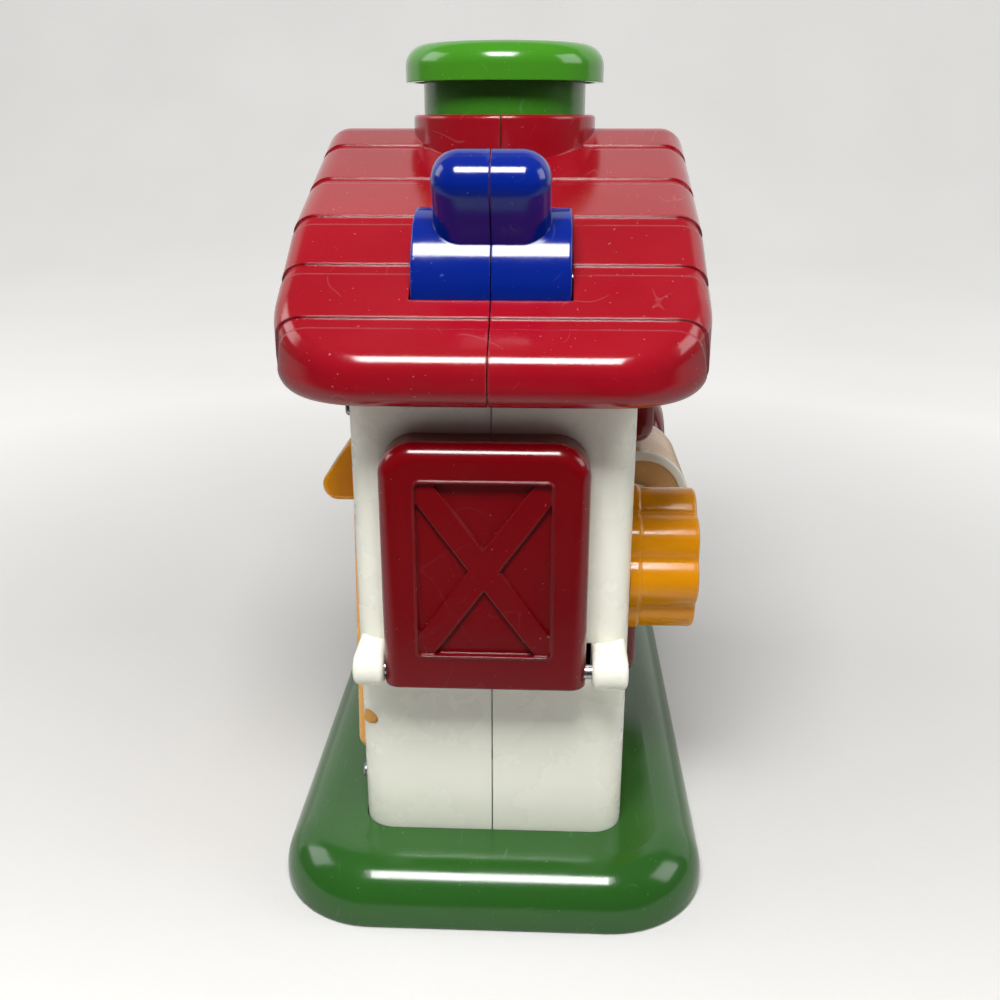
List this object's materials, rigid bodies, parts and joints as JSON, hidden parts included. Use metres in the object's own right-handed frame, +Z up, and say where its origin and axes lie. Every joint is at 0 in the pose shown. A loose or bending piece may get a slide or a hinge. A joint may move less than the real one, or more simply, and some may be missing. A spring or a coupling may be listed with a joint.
{
  "type": "toy barn with opening doors",
  "caption": "Moulded toy barn on a rounded base, with drop-open and swinging doors, a press plunger, a rocking lever, turning knobs and a roller.",
  "frame": {"origin": "on the floor below the middle of the barn, the middle of the base's outline", "axes": "+Z up; +X out of the busy front, -X out of the back; -Y out of the end wall with the stall door"},
  "size_m": [0.1376, 0.245, 0.2605],
  "materials": {
    "base_green": "moulded ABS, gloss, fine scratches",
    "cap_green": "moulded ABS, gloss",
    "neck_green": "moulded ABS, gloss",
    "roof_red": "moulded ABS, gloss, fine scratches",
    "door_burgundy": "moulded ABS, gloss",
    "wall_white": "moulded ABS, semi-gloss, slight smudges",
    "lever_blue": "moulded ABS, gloss",
    "knob_orange": "moulded ABS, gloss, slightly see-through",
    "handle_orange": "moulded ABS, gloss, slightly see-through",
    "ramp_yellow": "moulded ABS, semi-gloss",
    "drum_peach": "moulded ABS, semi-gloss",
    "roller_white": "moulded ABS, semi-gloss",
    "inner_white": "moulded ABS, matt",
    "pin_steel": "drawn wire",
    "screw_steel": "zinc plated"
  },
  "bodies": {
    "barn": {"base": "base_green", "base_plate": "base_green", "base_screws": "screw_steel", "front_wall_shell": "wall_white", "back_wall_shell": "wall_white", "body_screws": "screw_steel", "front_roof_shell": "roof_red", "back_roof_shell": "roof_red", "plunger_spring": "pin_steel", "spring_shelf": "inner_white", "lever_pin": "pin_steel", "stall_door_pin": "pin_steel", "stall_liner": "inner_white", "stable_door_pin": "pin_steel", "stable_liner": "inner_white", "hayloft_door_pin": "pin_steel", "hayloft_liner": "inner_white", "click_springs": "pin_steel", "roller_axle": "pin_steel", "ramp_bay": "inner_white"},
    "plunger": {"plunger_cap": "cap_green", "plunger_neck": "neck_green"},
    "lever": {"front_lever_half": "lever_blue", "back_lever_half": "lever_blue"},
    "stall_leaf": {"stall_door": "door_burgundy"},
    "stable_leaf": {"stable_door": "door_burgundy"},
    "hayloft_leaf": {"hayloft_door": "door_burgundy"},
    "knob": {"crank_knob": "knob_orange", "knob_click_wheel": "inner_white", "knob_screw": "screw_steel"},
    "wheel": {"turn_wheel": "door_burgundy", "wheel_click_wheel": "inner_white", "wheel_screw": "screw_steel"},
    "roller": {"roller_drum": "drum_peach", "near_roller_cap": "roller_white", "far_roller_cap": "roller_white"},
    "ramp": {"ramp_door": "ramp_yellow", "ramp_handle": "handle_orange"}
  },
  "joints": [
    {"name": "plunger_press", "type": "slide", "parent": "barn", "child": "plunger", "axis": [0, 0, 1], "range_m": [-0.009, 0], "stiffness_N_per_m": 450, "springref_m": 0.004, "deforming": ["plunger_spring"]},
    {"name": "lever_rock", "type": "hinge", "parent": "barn", "child": "lever", "pos_m": [0, -0.07768, 0.19387], "axis": [1, 0, 0], "range_deg": [-28, 28]},
    {"name": "stall_door_drop", "type": "hinge", "parent": "barn", "child": "stall_leaf", "pos_m": [-0.0016, -0.105, 0.0819], "axis": [1, 0, 0], "range_deg": [0, 105]},
    {"name": "stable_door_swing", "type": "hinge", "parent": "barn", "child": "stable_leaf", "pos_m": [0.0464, 0.0332, 0.062], "axis": [0, 0, 1], "range_deg": [0, 90]},
    {"name": "hayloft_door_swing", "type": "hinge", "parent": "barn", "child": "hayloft_leaf", "pos_m": [0.0464, 0.0332, 0.156], "axis": [0, 0, 1], "range_deg": [0, 110]},
    {"name": "knob_turn", "type": "hinge", "parent": "barn", "child": "knob", "pos_m": [0.042, -0.0588, 0.1008], "axis": [1, 0, 0], "continuous": true},
    {"name": "wheel_turn", "type": "hinge", "parent": "barn", "child": "wheel", "pos_m": [0.042, 0.0588, 0.1008], "axis": [1, 0, 0], "continuous": true},
    {"name": "roller_spin", "type": "hinge", "parent": "barn", "child": "roller", "pos_m": [0.0504, 0, 0.1075], "axis": [0, 1, 0], "continuous": true},
    {"name": "ramp_drop", "type": "hinge", "parent": "barn", "child": "ramp", "pos_m": [-0.0386, -0.0466, 0.058], "axis": [0, -1, 0], "range_deg": [0, 100]}
  ]
}
